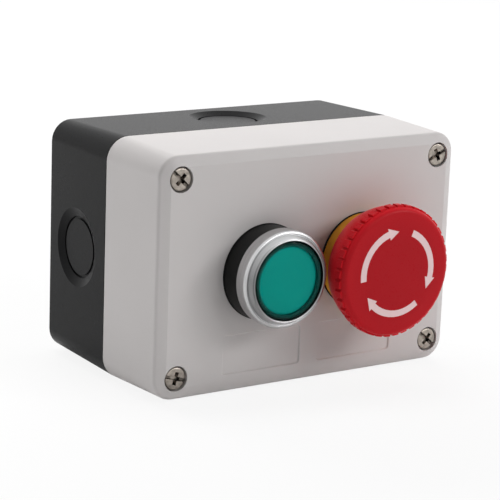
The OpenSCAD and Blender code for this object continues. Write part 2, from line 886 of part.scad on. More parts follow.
// Contact block, drawn with its front face at zero and its depth towards -Z
side_wall = 1;
room_y = block_h / 2 - 0.8;
front_wall = 5.5;
ledge_z = -15;
strip_t = 0.8;
tip_t = 0.6;
tip_y = 7;
bar_t = 0.8;
bridge_w = 3;
terminal_y = room_y - 2.8;
terminal_r = 1.5;
terminal_head_r = 2.6;
terminal_head_h = 2.2;
terminal_l = 4;
clamp_t = 0.8;
clamp_w = 5;
clamp_back = ledge_z - 2.6;
lamp_screw_seat = blocks_front - block_d + 5;
channel_end = -block_d + 1.2;
plunger_back = -13;
contact_r = 1.2;
plunger_x = 4.4;
plunger_y = 5;
tip_out = push_face - blocks_front - touch_gap;

module at_start_block() {
  at_start() translate([-block_pitch, 0, blocks_front]) children();
}

module at_stop_block() {
  at_stop() translate([0, 0, blocks_front]) children();
}

module hook_notches() {
  notch_d = 1.1;
  for (side = [-1, 1]) {
    translate([0, side * block_h / 2, 0])
      bar(block_w + 2, 2 * notch_d, hook_z + slip_fit, hook_z - hook_t - slip_fit);
  }
}

// Frame of the case without its side: front wall, core, ends and back, opened on +X
module block_case() {
  channel_x = plunger_x + 2 * slip_fit;
  channel_y = plunger_y + 2 * slip_fit;
  pocket_y = 5.6;
  pry_w = 3.4;
  difference() {
    bar(block_w, block_h, 0, -block_d);
    // Side closed by the lid
    translate([block_w / 2, 0, 0]) bar(2 * side_wall, block_h + 2, 1, -block_d - 1);
    // Room for the bridge and the fixed contacts
    translate([side_wall, 0, 0]) bar(block_w, 2 * room_y, -front_wall, ledge_z);
    // Channel of the plunger and its spring
    bar(channel_x, channel_y, 1, channel_end);
    // Screw pockets, open at the back
    for (side = [-1, 1]) {
      translate([side_wall, side * terminal_y, 0])
        bar(block_w, pocket_y, ledge_z + 1, -block_d - 1);
      translate([0, side * block_h / 2, 0]) bar(pry_w, 4, ledge_z - 0.3, ledge_z - 2.8);
    }
    translate([0, 0, -blocks_front]) hook_notches();
  }
}

module block_lid() {
  difference() {
    translate([block_w / 2 - side_wall / 2, 0, 0]) bar(side_wall, block_h, 0, -block_d);
    translate([0, 0, -blocks_front]) hook_notches();
  }
}

// Plunger with a window for the bridge
module block_plunger(window_low, window_high) {
  difference() {
    union() {
      bar(plunger_x, plunger_y, plunger_back, tip_out - 0.6);
      bar(plunger_x - 1, plunger_y - 1, plunger_back, tip_out);
    }
    bar(bridge_w + 2 * slip_fit, plunger_y + 1, window_low, window_high);
  }
}

// Moving bridge with a silver tip near each end, facing back or front
module block_bridge(low, facing) {
  union() {
    bar(bridge_w, 2 * tip_y + bridge_w, low, low + bar_t);
    for (side = [-1, 1]) {
      translate([0, side * tip_y, facing < 0 ? low - tip_t : low + bar_t - eps])
        cylinder(r = contact_r, h = tip_t + eps);
    }
  }
}

// Fixed strip on one side, with its tip on the ledge or, with front true, under the front wall
module fixed_strip(side, front) {
  strip_in = 5.4;
  low_in = front ? terminal_y - clamp_w / 2 - slip_fit : strip_in;
  low_mid = (low_in + room_y) / 2;
  top_mid = (strip_in + room_y) / 2;
  difference() {
    translate([0, side * low_mid, 0])
      bar(clamp_w, room_y - low_in, ledge_z, ledge_z + strip_t);
    translate([0, side * terminal_y, 0])
      rod(terminal_r + touch_gap, ledge_z - 1, ledge_z + strip_t + 1);
  }
  if (front) {
    translate([0, side * top_mid, 0])
      bar(clamp_w, room_y - strip_in, -front_wall - strip_t, -front_wall);
    translate([0, side * (room_y - strip_t / 2), 0]) bar(clamp_w, strip_t, ledge_z, -front_wall);
    translate([0, side * tip_y, 0])
      rod(contact_r, -front_wall - strip_t - tip_t, -front_wall - strip_t + eps);
  } else {
    translate([0, side * tip_y, 0])
      rod(contact_r, ledge_z + strip_t - eps, ledge_z + strip_t + tip_t);
  }
}

module block_return_spring() {
  helix(1.6, 0.4, 5, channel_end, plunger_back, 10);
}

module fixed_contacts(front) {
  for (side = [-1, 1]) {
    fixed_strip(side, front);
  }
}

// Cheese-head screw with a slot, its head at the back
module terminal_screw(seat) {
  head_back = seat - terminal_head_h;
  slot_w = 0.7;
  slot_d = 0.9;
  difference() {
    union() {
      rod(terminal_head_r, seat, head_back);
      rod(terminal_r, seat - eps, seat + terminal_l);
    }
    bar(2 * terminal_head_r + 1, slot_w, head_back - 1, head_back + slot_d);
  }
}

module terminal_screws() {
  for (side = [-1, 1]) {
    translate([0, side * terminal_y, 0]) terminal_screw(clamp_back);
  }
}

module wire_clamps() {
  for (side = [-1, 1]) {
    translate([0, side * terminal_y, 0]) difference() {
      bar(clamp_w, clamp_w, clamp_back, clamp_back + clamp_t);
      rod(terminal_r + run_fit, clamp_back - 1, clamp_back + clamp_t + 1);
    }
  }
}

// Start contact: the bridge waits in front of the fixed tips and closes on them
no_bridge_low = ledge_z + strip_t + 2 * tip_t + start_travel + touch_gap;
// Stop contact: the bridge rests against the fixed tips and leaves them
nc_bridge_low = -front_wall - strip_t - 2 * tip_t - touch_gap - bar_t;
window_len = 3.2;
no_window_high = no_bridge_low + bar_t + window_len;
over_r = 1.1;
over_wire = 0.3;
over_turns = 4;

module start_contact_case() {
  color(black_plastic) at_start_block() block_case();
}

module start_contact_lid() {
  color(black_plastic) at_start_block() block_lid();
}

module start_contact_plunger() {
  color(green_lens_colour) at_start_block()
    block_plunger(no_bridge_low, no_window_high);
}

module start_contact_bridge() {
  color(brass) at_start_block() block_bridge(no_bridge_low, -1);
}

module start_contact_spring() {
  color(steel) at_start_block()
    helix(over_r, over_wire, over_turns, no_bridge_low + bar_t, no_window_high, 10);
}

module start_contact_return_spring() {
  color(steel) at_start_block() block_return_spring();
}

module start_fixed_contacts() {
  color(brass) at_start_block() fixed_contacts(false);
}

module start_terminal_screws() {
  color(nickel) at_start_block() terminal_screws();
}

module start_wire_clamps() {
  color(brass) at_start_block() wire_clamps();
}

module stop_contact_case() {
  color(black_plastic) at_stop_block() block_case();
}

module stop_contact_lid() {
  color(black_plastic) at_stop_block() block_lid();
}

module stop_contact_plunger() {
  color(red_plastic) at_stop_block()
    block_plunger(nc_bridge_low - window_len, nc_bridge_low + bar_t + touch_gap);
}

module stop_contact_bridge() {
  color(brass) at_stop_block() block_bridge(nc_bridge_low, 1);
}

module stop_contact_spring() {
  color(steel) at_stop_block()
    helix(over_r, over_wire, over_turns, nc_bridge_low - window_len, nc_bridge_low, 10);
}

module stop_contact_return_spring() {
  color(steel) at_stop_block() block_return_spring();
}

module stop_fixed_contacts() {
  color(brass) at_stop_block() fixed_contacts(true);
}

module stop_terminal_screws() {
  color(nickel) at_stop_block() terminal_screws();
}

module stop_wire_clamps() {
  color(brass) at_stop_block() wire_clamps();
}

rear_base();
front_cover();
cover_seal();
cover_screws();
base_inserts();
start_bezel();
start_body();
start_gasket();
start_lens();
start_diffuser();
start_plunger();
start_pusher_plate();
start_return_spring();
start_lock_nut();
start_carrier();
start_lamp_case();
start_lamp();
start_lamp_screws();
stop_head();
stop_arrows();
stop_collar();
stop_gasket();
stop_body();
stop_stem();
stop_pusher();
stop_return_spring();
stop_latch_clip();
stop_lock_nut();
stop_carrier();
start_contact_case();
start_contact_lid();
start_contact_plunger();
start_contact_bridge();
start_contact_spring();
start_contact_return_spring();
start_fixed_contacts();
start_terminal_screws();
start_wire_clamps();
stop_contact_case();
stop_contact_lid();
stop_contact_plunger();
stop_contact_bridge();
stop_contact_spring();
stop_contact_return_spring();
stop_fixed_contacts();
stop_terminal_screws();
stop_wire_clamps();
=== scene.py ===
"""Finishes, wound springs and a plain studio for the frame of a two-button control box."""

import math

import bmesh
import bpy
from bpy.props import FloatProperty, FloatVectorProperty, PointerProperty
from bpy.types import Operator, Panel, PropertyGroup
from mathutils import Matrix, Vector


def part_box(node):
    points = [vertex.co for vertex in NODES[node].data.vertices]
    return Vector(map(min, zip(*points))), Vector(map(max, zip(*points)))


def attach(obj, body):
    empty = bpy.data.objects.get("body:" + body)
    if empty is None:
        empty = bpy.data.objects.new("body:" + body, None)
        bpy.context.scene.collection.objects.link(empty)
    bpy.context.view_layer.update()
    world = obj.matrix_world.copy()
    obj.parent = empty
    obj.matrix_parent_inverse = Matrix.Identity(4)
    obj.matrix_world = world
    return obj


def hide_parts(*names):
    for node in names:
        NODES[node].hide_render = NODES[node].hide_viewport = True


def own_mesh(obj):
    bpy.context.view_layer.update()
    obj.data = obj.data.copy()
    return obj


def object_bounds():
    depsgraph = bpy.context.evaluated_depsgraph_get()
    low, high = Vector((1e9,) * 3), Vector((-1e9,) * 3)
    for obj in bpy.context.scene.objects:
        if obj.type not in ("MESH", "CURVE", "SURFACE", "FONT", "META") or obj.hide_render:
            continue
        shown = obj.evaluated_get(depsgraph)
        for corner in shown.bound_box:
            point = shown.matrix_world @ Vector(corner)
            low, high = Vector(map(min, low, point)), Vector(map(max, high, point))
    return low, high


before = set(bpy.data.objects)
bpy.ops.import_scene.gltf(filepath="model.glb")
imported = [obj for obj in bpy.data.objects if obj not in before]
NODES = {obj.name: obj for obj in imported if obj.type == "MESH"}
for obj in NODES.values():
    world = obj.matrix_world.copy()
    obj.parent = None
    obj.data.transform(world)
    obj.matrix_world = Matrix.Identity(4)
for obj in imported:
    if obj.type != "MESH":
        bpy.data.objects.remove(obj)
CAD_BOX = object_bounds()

bl_info = {
    "name": "Two-button control box",
    "version": (1, 0, 0),
    "blender": (4, 5, 0),
    "location": "3D View > Sidebar > Control box",
    "description": "Finishes, fine pieces and studio of a start and stop button box",
    "category": "Object",
}

MM = 0.001
# Faces that meet at a larger angle than this keep a crisp edge
SMOOTH_ANGLE = math.radians(32)
# The slopes of the knock-outs are shallow and still have crisp edges
SHALLOW_ANGLE = math.radians(17)
# Corners of CAD faces that lie closer than this are one point
WELD_REACH = 0.001 * MM


def linear(code):
    """Linear RGB of an sRGB hex colour."""
    values = [int(code[i:i + 2], 16) / 255 for i in (1, 3, 5)]
    return tuple(v / 12.92 if v <= 0.04045 else ((v + 0.055) / 1.055) ** 2.4 for v in values)


def middle(node):
    """Middle of a CAD node's box."""
    low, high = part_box(node)
    return (low + high) / 2


def radius_of(node):
    """Outer radius of a round CAD node whose axis is parallel to Y."""
    low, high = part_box(node)
    return (high[0] - low[0]) / 2


START = middle("start_bezel")
STOP = middle("stop_head")


# Settings that a user would change

class EnclosureSettings(PropertyGroup):
    """Sizes and colours of the moulded enclosure"""
    cover_colour: FloatVectorProperty(
        name="Cover colour", description="Colour of the light grey front cover",
        subtype="COLOR", size=3, min=0, max=1, default=linear("#dad6d5"))
    base_colour: FloatVectorProperty(
        name="Base colour", description="Colour of the black rear base",
        subtype="COLOR", size=3, min=0, max=1, default=linear("#171718"))
    grain: FloatProperty(
        name="Mould grain", description="Width of one grain of the eroded mould surface",
        subtype="DISTANCE", unit="LENGTH", min=0.0001, max=0.002, default=0.45 * MM)


class ScrewSettings(PropertyGroup):
    """Finish of the cover screws"""
    colour: FloatVectorProperty(
        name="Screw colour", description="Colour of the nickel plating",
        subtype="COLOR", size=3, min=0, max=1, default=linear("#a49c93"))
    roughness: FloatProperty(
        name="Screw roughness", description="Roughness of the plated heads",
        min=0.05, max=1, default=0.34)


class StartSettings(PropertyGroup):
    """Colours and finish of the start button"""
    cap_colour: FloatVectorProperty(
        name="Cap colour", description="Colour of the clear green cap",
        subtype="COLOR", size=3, min=0, max=1, default=linear("#06463d"))
    disc_colour: FloatVectorProperty(
        name="Disc colour", description="Colour of the frosted disc under the cap",
        subtype="COLOR", size=3, min=0, max=1, default=linear("#0abbad"))
    bezel_colour: FloatVectorProperty(
        name="Bezel colour", description="Colour of the metal bezel",
        subtype="COLOR", size=3, min=0, max=1, default=linear("#c9c9ca"))
    bezel_roughness: FloatProperty(
        name="Bezel roughness", description="Roughness of the satin metal",
        min=0.05, max=1, default=0.3)


class StopSettings(PropertyGroup):
    """Colours of the stop button"""
    head_colour: FloatVectorProperty(
        name="Head colour", description="Colour of the red head",
        subtype="COLOR", size=3, min=0, max=1, default=linear("#b71a23"))
    # The arrows are white, and their pinkish colour holds a painted reflection of the red face
    # round them
    arrow_colour: FloatVectorProperty(
        name="Arrow colour", description="Colour of the three arrows",
        subtype="COLOR", size=3, min=0, max=1, default=linear("#f8dadb"))
    collar_colour: FloatVectorProperty(
        name="Collar colour", description="Colour of the yellow collar",
        subtype="COLOR", size=3, min=0, max=1, default=linear("#ffb43c"))


class StageSettings(PropertyGroup):
    """Light of the studio"""
    back_power: FloatProperty(
        name="Back light", description="Power of the wide light above and behind",
        subtype="POWER", unit="POWER", min=0, max=200, default=11.6)
    top_power: FloatProperty(
        name="Top light", description="Power of the soft light straight above",
        subtype="POWER", unit="POWER", min=0, max=200, default=4.9)
    key_power: FloatProperty(
        name="Key light", description="Power of the soft light at the front right",
        subtype="POWER", unit="POWER", min=0, max=200, default=1.5)
    right_power: FloatProperty(
        name="Right light", description="Power of the soft light at the right",
        subtype="POWER", unit="POWER", min=0, max=200, default=2.45)
    low_power: FloatProperty(
        name="Low light", description="Power of the long light low in front",
        subtype="POWER", unit="POWER", min=0, max=200, default=0.75)
    left_power: FloatProperty(
        name="Left light", description="Power of the soft light at the left",
        subtype="POWER", unit="POWER", min=0, max=200, default=1.75)
    ambient: FloatProperty(
        name="Ambient", description="Level of the light from all round",
        min=0, max=2, default=0.02)


# Tools for materials and meshes

def set_inputs(tree, node, inputs):
    """Sets inputs of a node, or links them where the value is the output of another node."""
    for socket, value in inputs.items():
        if isinstance(value, bpy.types.NodeSocket):
            tree.links.new(value, node.inputs[socket])
        else:
            node.inputs[socket].default_value = value


def add_node(tree, kind, inputs=None, **settings):
    """Adds one shader node, sets its options, and sets or links its inputs."""
    node = tree.nodes.new(kind)
    for name, value in settings.items():
        setattr(node, name, value)
    set_inputs(tree, node, inputs or {})
    return node


def new_material(name):
    """A plain node material, with its tree and its Principled shader."""
    material = bpy.data.materials.new(name)
    material.use_nodes = True
    tree = material.node_tree
    return material, tree, tree.nodes["Principled BSDF"]


def tint(colour, factor):
    """A colour made lighter or darker by a factor, with full alpha."""
    return tuple(min(1, c * factor) for c in colour) + (1,)


def shade_smooth(mesh):
    """Shades all faces of a mesh smoothly."""
    mesh.polygons.foreach_set("use_smooth", [True] * len(mesh.polygons))


def finish_node(name, material, smooth_angle=SMOOTH_ANGLE):
    """Gives a CAD node its finish and shades its curved faces smoothly."""
    node = NODES[name]
    node.data.materials.clear()
    node.data.materials.append(material)
    shade_smooth(node.data)
    # The faces of a CAD solid don't share their edges, so they are joined here and split again
    # where they meet sharply
    weld = node.modifiers.new("Join faces", "WELD")
    weld.merge_threshold = WELD_REACH
    split = node.modifiers.new("Split sharp edges", "EDGE_SPLIT")
    split.split_angle = smooth_angle
    # Large flat faces keep their own normals, so that only the rounded parts shade as round
    node.modifiers.new("Keep flats flat", "WEIGHTED_NORMAL").keep_sharp = True


# Parts of materials that several finishes share

# Nearly all values of a noise pattern lie between these two
NOISE_LOW, NOISE_HIGH = 0.3, 0.7


def drifting_colour(tree, place, width, dark, light):
    """Clouds of a given width, and a colour that drifts with them from dark to light."""
    clouds = add_node(tree, "ShaderNodeTexNoise",
                      {"Vector": place, "Scale": 1 / width, "Detail": 3}).outputs["Fac"]
    shade = add_node(tree, "ShaderNodeMix", {"Factor": clouds, "A": dark, "B": light},
                     data_type="RGBA")
    return clouds, shade.outputs["Result"]


def relief(tree, height, depth, edge_radius):
    """Surface relief of a given depth, with edges that look rounded by a given radius."""
    soft = add_node(tree, "ShaderNodeBevel", {"Radius": edge_radius}, samples=4)
    bump = add_node(tree, "ShaderNodeBump", {"Height": height, "Distance": depth,
                                             "Normal": soft.outputs["Normal"]})
    return bump.outputs["Normal"]


def from_axis(tree, place, centre):
    """Arm from a button's axis, which is parallel to Y, to a place, and the arm's length."""
    arm = add_node(tree, "ShaderNodeVectorMath", {0: place, 1: tuple(-centre)},
                   operation="ADD")
    flat = add_node(tree, "ShaderNodeVectorMath", {0: arm.outputs["Vector"], 1: (1, 0, 1)},
                    operation="MULTIPLY")
    radius = add_node(tree, "ShaderNodeVectorMath", {0: flat.outputs["Vector"]},
                      operation="LENGTH")
    return flat.outputs["Vector"], radius.outputs["Value"]


def straight_rays(tree):
    """Kinds of rays, and a mask of those that the camera sends, also through clear pieces."""
    path = add_node(tree, "ShaderNodeLightPath")
    straight = add_node(tree, "ShaderNodeMath", {0: path.outputs["Is Camera Ray"],
                                                 1: path.outputs["Is Transmission Ray"]},
                        operation="ADD", use_clamp=True)
    return path, straight.outputs["Value"]


# Materials

# Typical refraction indices
IOR_ABS = 1.53
IOR_POLYCARBONATE = 1.58
IOR_GLASS = 1.5


def moulded_plastic(name, colour, grain, roughness=0.45, specular=0.12, face=None):
    """Injection-moulded plastic: an eroded grain breaks up the gloss, and the colour drifts.

    The real grain is finer, and is drawn as wide as it needs to be to show. Where the place
    of a front face along Y is given, the sides behind it are painted brighter: painted light.
    """
    cloud_width, grain_depth, edge_radius = 22 * MM, 0.006 * MM, 0.07 * MM
    dark, light = tint(colour, 0.965), tint(colour, 1.035)
    shiny, matt = roughness - 0.05, roughness + 0.07
    material, tree, shader = new_material(name)
    place = add_node(tree, "ShaderNodeTexCoord").outputs["Object"]
    _, finish = drifting_colour(tree, place, cloud_width, dark, light)
    grit = add_node(tree, "ShaderNodeTexNoise", {"Vector": place, "Scale": 1 / grain,
                                                 "Detail": 4, "Roughness": 0.6})
    gloss = add_node(tree, "ShaderNodeMapRange",
                     {"Value": grit.outputs["Fac"], "From Min": NOISE_LOW, "From Max": NOISE_HIGH,
                      "To Min": shiny, "To Max": matt})
    # Painted light: the sides behind the front face are painted brighter than the face
    if face is not None:
        side_start, side_full, painted_side_light = face + 0.1 * MM, face + 1.2 * MM, tint(colour, 1.5)
        parts = add_node(tree, "ShaderNodeSeparateXYZ", {"Vector": place})
        behind = add_node(tree, "ShaderNodeMapRange", {"Value": parts.outputs["Y"],
                                                       "From Min": side_start,
                                                       "From Max": side_full})
        glow = add_node(tree, "ShaderNodeMix", {"Factor": behind.outputs["Result"],
                                                "A": finish, "B": painted_side_light},
                        data_type="RGBA")
        finish = glow.outputs["Result"]
    set_inputs(tree, shader, {
        "Base Color": finish, "Roughness": gloss.outputs["Result"],
        "Normal": relief(tree, grit.outputs["Fac"], grain_depth, edge_radius),
        "IOR": IOR_ABS, "Specular IOR Level": specular})
    return material


def frosted_disc(name, colour, centre, reach, fade):
    """Frosted plastic: bright in the middle, with painted shade that darkens it near its edge.

    The edge lies at a radius of reach, and the painted shade darkens the colour towards it over
    a width of fade.
    """
    cloud_width, frost_width, frost_depth = 7 * MM, 0.5 * MM, 0.01 * MM
    dark, light, painted_edge_shade = tint(colour, 0.94), tint(colour, 1.06), tint(colour, 0.6)
    material, tree, shader = new_material(name)
    place = add_node(tree, "ShaderNodeTexCoord").outputs["Object"]
    _, radius = from_axis(tree, place, centre)
    # Painted shade: the colour darkens towards the disc's edge over the width of fade
    edge = add_node(tree, "ShaderNodeMapRange",
                    {"Value": radius, "From Min": reach - fade, "From Max": reach},
                    interpolation_type="SMOOTHSTEP")
    _, shade = drifting_colour(tree, place, cloud_width, dark, light)
    painted_rim = add_node(tree, "ShaderNodeMix", {"Factor": edge.outputs["Result"],
                                           "A": shade, "B": painted_edge_shade}, data_type="RGBA")
    frost = add_node(tree, "ShaderNodeTexNoise", {"Vector": place, "Scale": 1 / frost_width,
                                                  "Detail": 4})
    bump = add_node(tree, "ShaderNodeBump", {"Height": frost.outputs["Fac"],
                                             "Distance": frost_depth})
    set_inputs(tree, shader, {
        "Base Color": painted_rim.outputs["Result"], "Roughness": 0.6, "Normal": bump.outputs["Normal"],
        "IOR": IOR_POLYCARBONATE, "Specular IOR Level": 0.05})
    return material


def clear_cap(name, colour, glow, alpha, centre, room, reach):
    """Polished clear plastic cap over a bright disc, which shows through its face.

    Its wall lies between the radii room and reach, and is painted with a faint glow next to the
    disc that goes over into dark painted shade further out.
    """
    haze_width, shiny, hazy, wall_alpha = 4 * MM, 0.04, 0.14, 0.8
    wall_start, wall_end = room - 0.6 * MM, reach - 0.3 * MM
    # Painted light and shade: next to the disc the wall is painted with a faint glow of the
    # disc's colour, going over into dark painted shade further out
    painted_wall_glow, painted_wall_shade = tint(glow, 0.26), tint(colour, 0.3)
    material, tree, shader = new_material(name)
    place = add_node(tree, "ShaderNodeTexCoord").outputs["Object"]
    haze = add_node(tree, "ShaderNodeTexNoise", {"Vector": place, "Scale": 1 / haze_width,
                                                 "Detail": 2})
    gloss = add_node(tree, "ShaderNodeMapRange",
                     {"Value": haze.outputs["Fac"], "To Min": shiny, "To Max": hazy})
    _, radius = from_axis(tree, place, centre)
    wall = add_node(tree, "ShaderNodeMapRange",
                    {"Value": radius, "From Min": wall_start, "From Max": room,
                     "To Min": alpha, "To Max": wall_alpha})
    painted_wall_mask = add_node(tree, "ShaderNodeMapRange",
                        {"Value": radius, "From Min": wall_start, "From Max": wall_end})
    shade = add_node(tree, "ShaderNodeMix", {"Factor": painted_wall_mask.outputs["Result"],
                                             "A": painted_wall_glow, "B": painted_wall_shade},
                     data_type="RGBA")
    set_inputs(tree, shader, {
        "Base Color": shade.outputs["Result"], "Roughness": gloss.outputs["Result"],
        "Alpha": wall.outputs["Result"], "IOR": IOR_POLYCARBONATE, "Specular IOR Level": 0.1})
    return material


def plated_metal(name, colour, roughness, grain, depth=0.002 * MM, slot_shade_reach=0.0,
                 cloud_width=3 * MM, shades=(0.93, 1.04)):
    """Plated or tumbled metal: bright, with fine scratches and a cloudy gloss.

    The real scratches are finer, and are drawn as wide as they need to be to show. Where a
    reach is given, painted shade darkens the slots that are narrower than that.
    """
    edge_radius = 0.12 * MM
    shiny, matt = roughness - 0.06, roughness + 0.08
    # Share of open sky over a point in a slot where the painted shade is darkest, and over an
    # unshaded one
    darkest_sky, clear = 0.55, 0.9
    dark, light = (tint(colour, shade) for shade in shades)
    material, tree, shader = new_material(name)
    place = add_node(tree, "ShaderNodeTexCoord").outputs["Object"]
    clouds, finish = drifting_colour(tree, place, cloud_width, dark, light)
    gloss = add_node(tree, "ShaderNodeMapRange",
                     {"Value": clouds, "From Min": NOISE_LOW, "From Max": NOISE_HIGH,
                      "To Min": shiny, "To Max": matt})
    grit = add_node(tree, "ShaderNodeTexNoise", {"Vector": place, "Scale": 1 / grain,
                                                 "Detail": 5})
    # Painted shade: slots narrower than the reach are darkened to a near-black brown by how
    # little open sky they see
    if slot_shade_reach:
        sky = add_node(tree, "ShaderNodeAmbientOcclusion", {"Distance": slot_shade_reach},
                       samples=8, only_local=True)
        unshaded = add_node(tree, "ShaderNodeMapRange", {"Value": sky.outputs["AO"],
                                                      "From Min": darkest_sky, "From Max": clear})
        painted_slot_shade = add_node(tree, "ShaderNodeMix", {"Factor": unshaded.outputs["Result"],
                                                "A": linear("#15110e") + (1,), "B": finish},
                        data_type="RGBA")
        finish = painted_slot_shade.outputs["Result"]
    set_inputs(tree, shader, {
        "Base Color": finish, "Roughness": gloss.outputs["Result"],
        "Normal": relief(tree, grit.outputs["Fac"], depth, edge_radius), "Metallic": 1})
    return material


def turned_metal(name, colour, roughness, centre, ring, reach):
    """Satin metal turned on a lathe: fine rings stretch the highlights.

    The real rings are finer, and are drawn as wide as they need to be to show. Painted shade
    darkens the front in fans at the sides of the axis, up to its outer edge at a radius of reach.
    """
    ring_depth, edge_radius = 0.002 * MM, 0.15 * MM
    shiny, matt = roughness - 0.07, roughness + 0.07
    fan_full, fan_end = reach - 0.9 * MM, reach - 0.6 * MM
    plain, painted_fan_shade = tint(colour, 1), tint(colour, 0.42)
    material, tree, shader = new_material(name)
    place = add_node(tree, "ShaderNodeTexCoord").outputs["Object"]
    flat, radius = from_axis(tree, place, centre)
    parts = add_node(tree, "ShaderNodeSeparateXYZ", {"Vector": place})
    track = add_node(tree, "ShaderNodeCombineXYZ", {"X": radius, "Y": parts.outputs["Y"]})
    rings = add_node(tree, "ShaderNodeTexNoise", {"Vector": track.outputs["Vector"],
                                                  "Scale": 1 / ring, "Detail": 4,
                                                  "Roughness": 0.7})
    gloss = add_node(tree, "ShaderNodeMapRange",
                     {"Value": rings.outputs["Fac"], "From Min": NOISE_LOW,
                      "From Max": NOISE_HIGH, "To Min": shiny, "To Max": matt})
    # Painted shade in fans: the plain colour above and below the axis, and darker at the sides
    way = add_node(tree, "ShaderNodeVectorMath", {0: flat}, operation="NORMALIZE")
    sides = add_node(tree, "ShaderNodeSeparateXYZ", {"Vector": way.outputs["Vector"]})
    fan = add_node(tree, "ShaderNodeMath", {0: sides.outputs["X"], 1: sides.outputs["X"]},
                   operation="MULTIPLY")
    front = add_node(tree, "ShaderNodeMapRange", {"Value": radius, "From Min": fan_full,
                                                  "From Max": fan_end,
                                                  "To Min": 1, "To Max": 0})
    dark = add_node(tree, "ShaderNodeMath",
                    {0: fan.outputs["Value"], 1: front.outputs["Result"]}, operation="MULTIPLY")
    painted_fans = add_node(tree, "ShaderNodeMix", {"Factor": dark.outputs["Value"],
                                             "A": plain, "B": painted_fan_shade}, data_type="RGBA")
    set_inputs(tree, shader, {
        "Base Color": painted_fans.outputs["Result"], "Roughness": gloss.outputs["Result"],
        "Normal": relief(tree, rings.outputs["Fac"], ring_depth, edge_radius), "Metallic": 1})
    return material


def blown_glass(name, colour):
    """Blown clear glass with a faint haze inside."""
    haze_width, shiny, hazy = 2 * MM, 0.03, 0.12
    material, tree, shader = new_material(name)
    place = add_node(tree, "ShaderNodeTexCoord").outputs["Object"]
    haze = add_node(tree, "ShaderNodeTexNoise", {"Vector": place, "Scale": 1 / haze_width,
                                                 "Detail": 2})
    gloss = add_node(tree, "ShaderNodeMapRange", {"Value": haze.outputs["Fac"],
                                                  "To Min": shiny, "To Max": hazy})
    set_inputs(tree, shader, {
        "Base Color": tint(colour, 1), "Roughness": gloss.outputs["Result"],
        "Transmission Weight": 1, "IOR": IOR_GLASS})
    return material


# Operators, one for each group of pieces

class BOX_OT_enclosure(Operator):
    """Finishes the base, the cover, the seals and the inserts"""
    bl_idname = "control_box.enclosure"
    bl_label = "Enclosure"

    def execute(self, context):
        settings = context.scene.box_enclosure
        # Light grey ABS with an eroded mould surface: matt, with a soft sheen at grazing angles
        cover = moulded_plastic("ABS light grey moulded", settings.cover_colour, settings.grain,
                                roughness=0.42)
        # Black ABS from the same kind of mould: its sheen lifts the upper side to a dark grey
        base = moulded_plastic("ABS black moulded", settings.base_colour, settings.grain,
                               roughness=0.31, specular=0.07)
        # Black nitrile rubber, moulded: dull and very dark in the seam
        rubber = moulded_plastic("Nitrile rubber black", linear("#111111"), grain=0.3 * MM,
                                 roughness=0.75)
        # Turned brass: a warm yellow shine with fine scratches
        brass = plated_metal("Brass turned", linear("#c9a45c"), roughness=0.35, grain=0.3 * MM)
        finish_node("front_cover", cover)
        finish_node("rear_base", base, SHALLOW_ANGLE)
        for name in ("cover_seal", "start_gasket", "stop_gasket"):
            finish_node(name, rubber)
        finish_node("base_inserts", brass)
        return {"FINISHED"}


class BOX_OT_cover_screws(Operator):
    """Finishes the four cover screws"""
    bl_idname = "control_box.cover_screws"
    bl_label = "Cover screws"

    def execute(self, context):
        settings = context.scene.box_screws
        # Nickel-plated steel, cold headed and handled: a warm grey shine, mottled by dents and
        # finger marks, with painted shade in the slots. The dents are drawn deeper than the real
        # ones, so that they show.
        nickel = plated_metal("Steel nickel plated", settings.colour, settings.roughness,
                              grain=1.2 * MM, depth=0.15 * MM, slot_shade_reach=0.9 * MM,
                              cloud_width=1.1 * MM, shades=(0.35, 1.62))
        finish_node("cover_screws", nickel)
        return {"FINISHED"}


class BOX_OT_start_button(Operator):
    """Finishes the start button and its operator"""
    bl_idname = "control_box.start_button"
    bl_label = "Start button"

    def execute(self, context):
        settings = context.scene.box_start
        room, reach = radius_of("start_diffuser"), radius_of("start_lens")
        # Satin chrome on turned brass: bright, with painted shade in fans at the sides of the
        # axis
        bezel = turned_metal("Satin chrome turned", settings.bezel_colour,
                             settings.bezel_roughness, START, ring=0.25 * MM,
                             reach=radius_of("start_bezel"))
        # Black polyamide, moulded: a plain dark satin
        collar = moulded_plastic("Polyamide black moulded", linear("#191919"), grain=0.4 * MM,
                                 roughness=0.48)
        # Clear green polycarbonate, polished: the disc shows through its face, and its wall is
        # painted with a faint glow next to the disc and nearly black painted shade further out
        cap = clear_cap("Polycarbonate green clear", settings.cap_colour, settings.disc_colour,
                        alpha=0.12, centre=START, room=room, reach=reach)
        # Frosted green polycarbonate: an even bright disc, with painted shade that softens its
        # edge
        disc = frosted_disc("Polycarbonate green frosted", settings.disc_colour, START,
                            reach=room, fade=0.7 * MM)
        # Ivory polyamide, moulded: the pale satin plates that press the blocks
        ivory = moulded_plastic("Polyamide ivory moulded", linear("#d8d2c2"), grain=0.5 * MM,
                                roughness=0.5)
        finish_node("start_bezel", bezel)
        finish_node("start_lens", cap)
        finish_node("start_diffuser", disc)
        for name in ("start_body", "start_plunger", "start_lock_nut", "start_carrier",
                     "start_lamp_case"):
            finish_node(name, collar)
        for name in ("start_pusher_plate", "stop_pusher"):
            finish_node(name, ivory)
        return {"FINISHED"}


